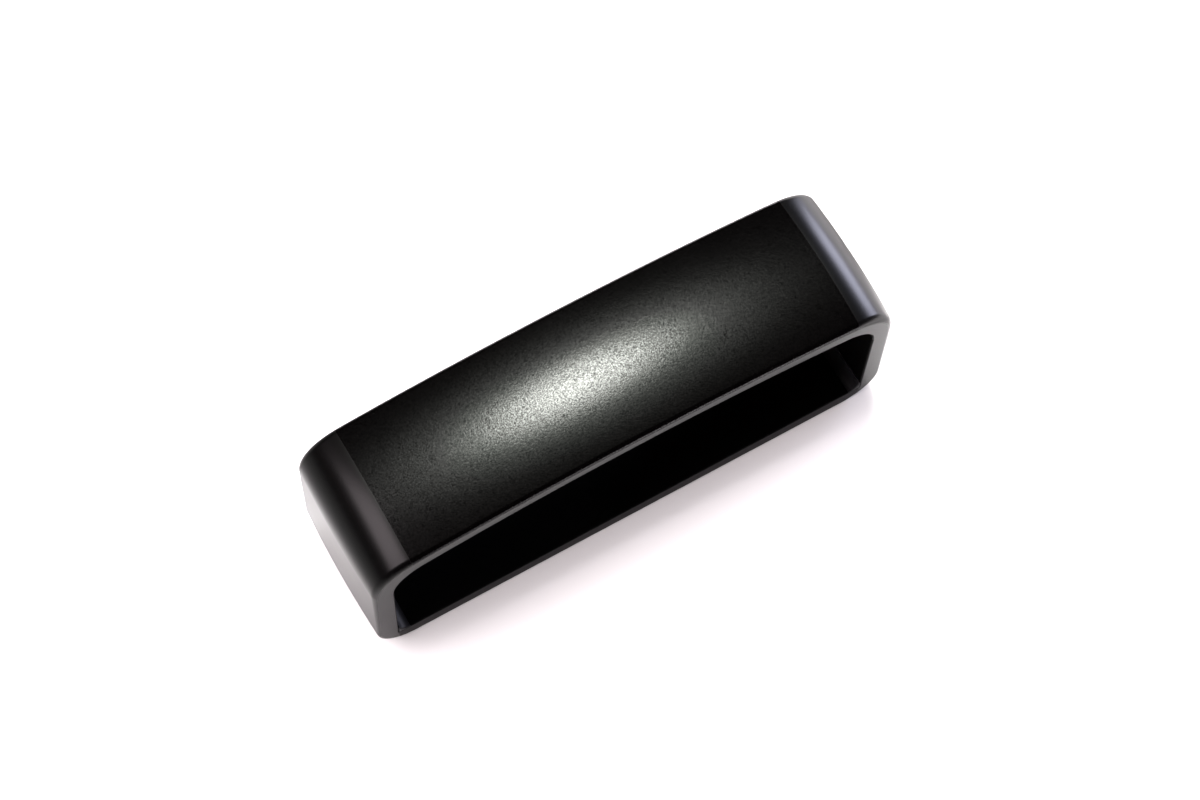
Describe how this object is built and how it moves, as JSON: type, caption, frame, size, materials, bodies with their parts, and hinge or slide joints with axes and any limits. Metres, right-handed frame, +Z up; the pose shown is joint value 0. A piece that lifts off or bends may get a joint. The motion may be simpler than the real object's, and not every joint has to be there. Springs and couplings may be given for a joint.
{
  "type": "watch strap loop",
  "caption": "Black metal keeper loop for a watch strap: a thick arched bow closed below by a flat plate, with a straight passage for the strap and its free end.",
  "frame": {"origin": "centre of the flat underside", "axes": "+X across the strap, +Y along the strap, +Z up through the arched top"},
  "size_m": [0.0252, 0.0068, 0.0098],
  "materials": {
    "bow_metal": "black vapour coating over bead-blasted stainless steel",
    "plate_metal": "black vapour coating over ground stainless steel",
    "braze_metal": "black vapour coating over brazing metal"
  },
  "bodies": {
    "root": {"bow": "bow_metal", "base_plate": "plate_metal", "braze_fillet_left": "braze_metal", "braze_fillet_right": "braze_metal"}
  },
  "joints": []
}
